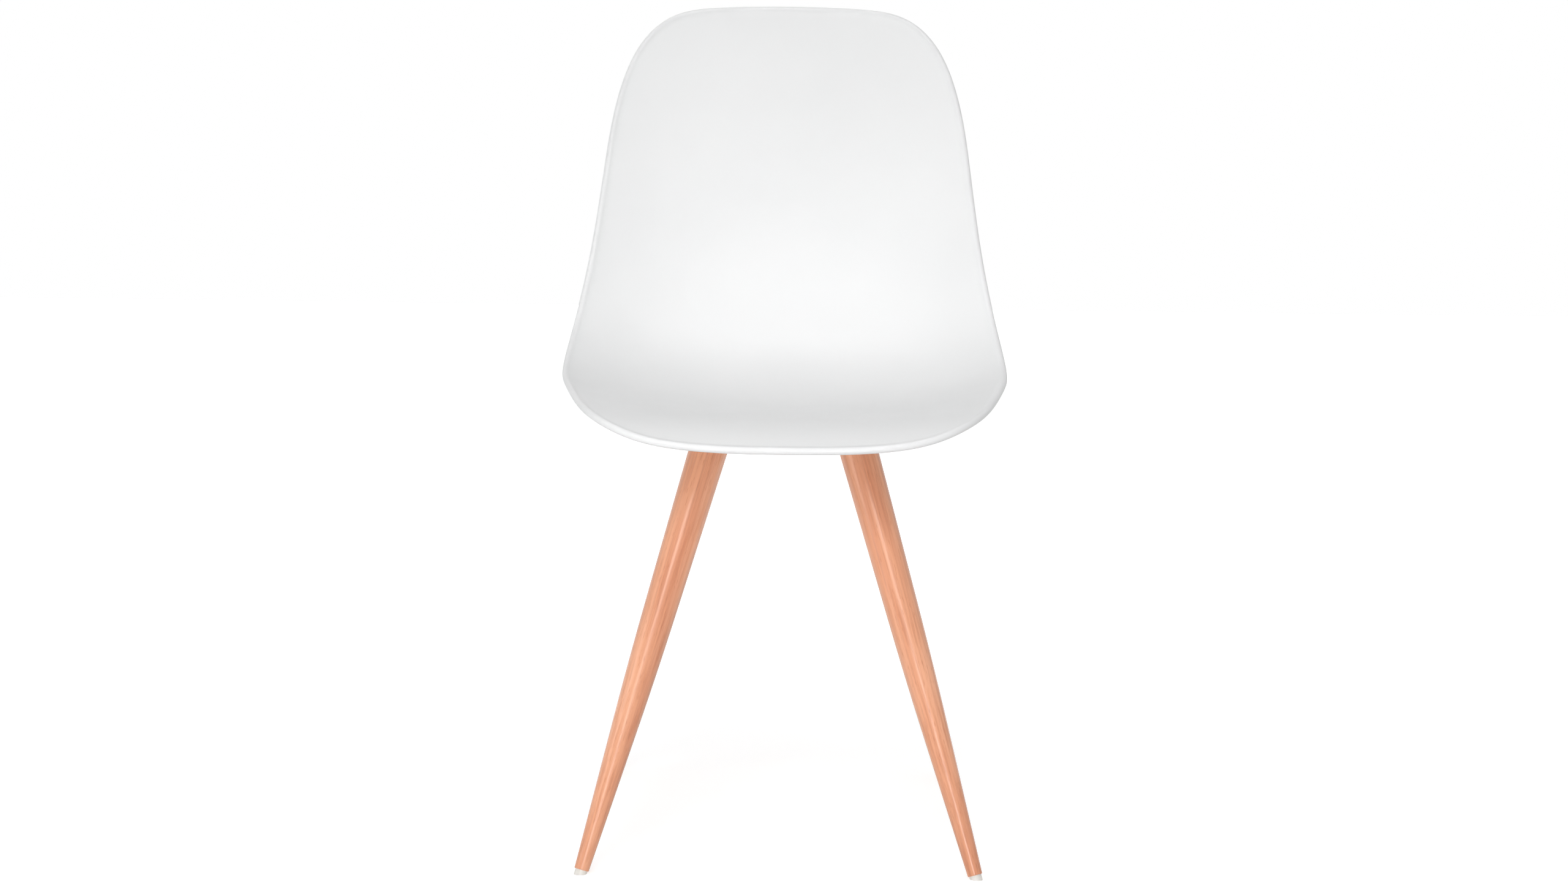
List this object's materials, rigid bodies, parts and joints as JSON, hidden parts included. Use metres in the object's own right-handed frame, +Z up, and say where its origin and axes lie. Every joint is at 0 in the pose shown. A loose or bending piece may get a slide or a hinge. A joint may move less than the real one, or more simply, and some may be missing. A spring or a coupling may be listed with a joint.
{
  "type": "moulded shell side chair",
  "caption": "Side chair with a one-piece moulded plastic seat and back on four splayed, tapered legs of lacquered wood.",
  "frame": {"origin": "on the floor, at the centre of the chair's outline seen from above", "axes": "+Z up, -Y the way the chair faces, +X to the right of someone looking at its front"},
  "size_m": [0.465, 0.5218, 0.8681],
  "materials": {
    "shell_plastic": "fine satin white polypropylene",
    "leg_wood": "turned beech, lightly stained and lacquered",
    "glide_plastic": "pale moulded nylon",
    "frame_steel": "white powder coat",
    "fastener_steel": "zinc plated",
    "insert_brass": "turned"
  },
  "bodies": {
    "root": {"seat_shell": "shell_plastic", "threaded_inserts": "insert_brass", "under_seat_frame": "frame_steel", "frame_screws": "fastener_steel", "frame_screw_washers": "fastener_steel", "leg_washers": "fastener_steel", "leg_spring_washers": "fastener_steel", "leg_nuts": "fastener_steel", "leg_front_left": "leg_wood", "hanger_bolt_front_left": "fastener_steel", "glide_front_left": "glide_plastic", "leg_front_right": "leg_wood", "hanger_bolt_front_right": "fastener_steel", "glide_front_right": "glide_plastic", "leg_rear_left": "leg_wood", "hanger_bolt_rear_left": "fastener_steel", "glide_rear_left": "glide_plastic", "leg_rear_right": "leg_wood", "hanger_bolt_rear_right": "fastener_steel", "glide_rear_right": "glide_plastic"}
  },
  "joints": []
}
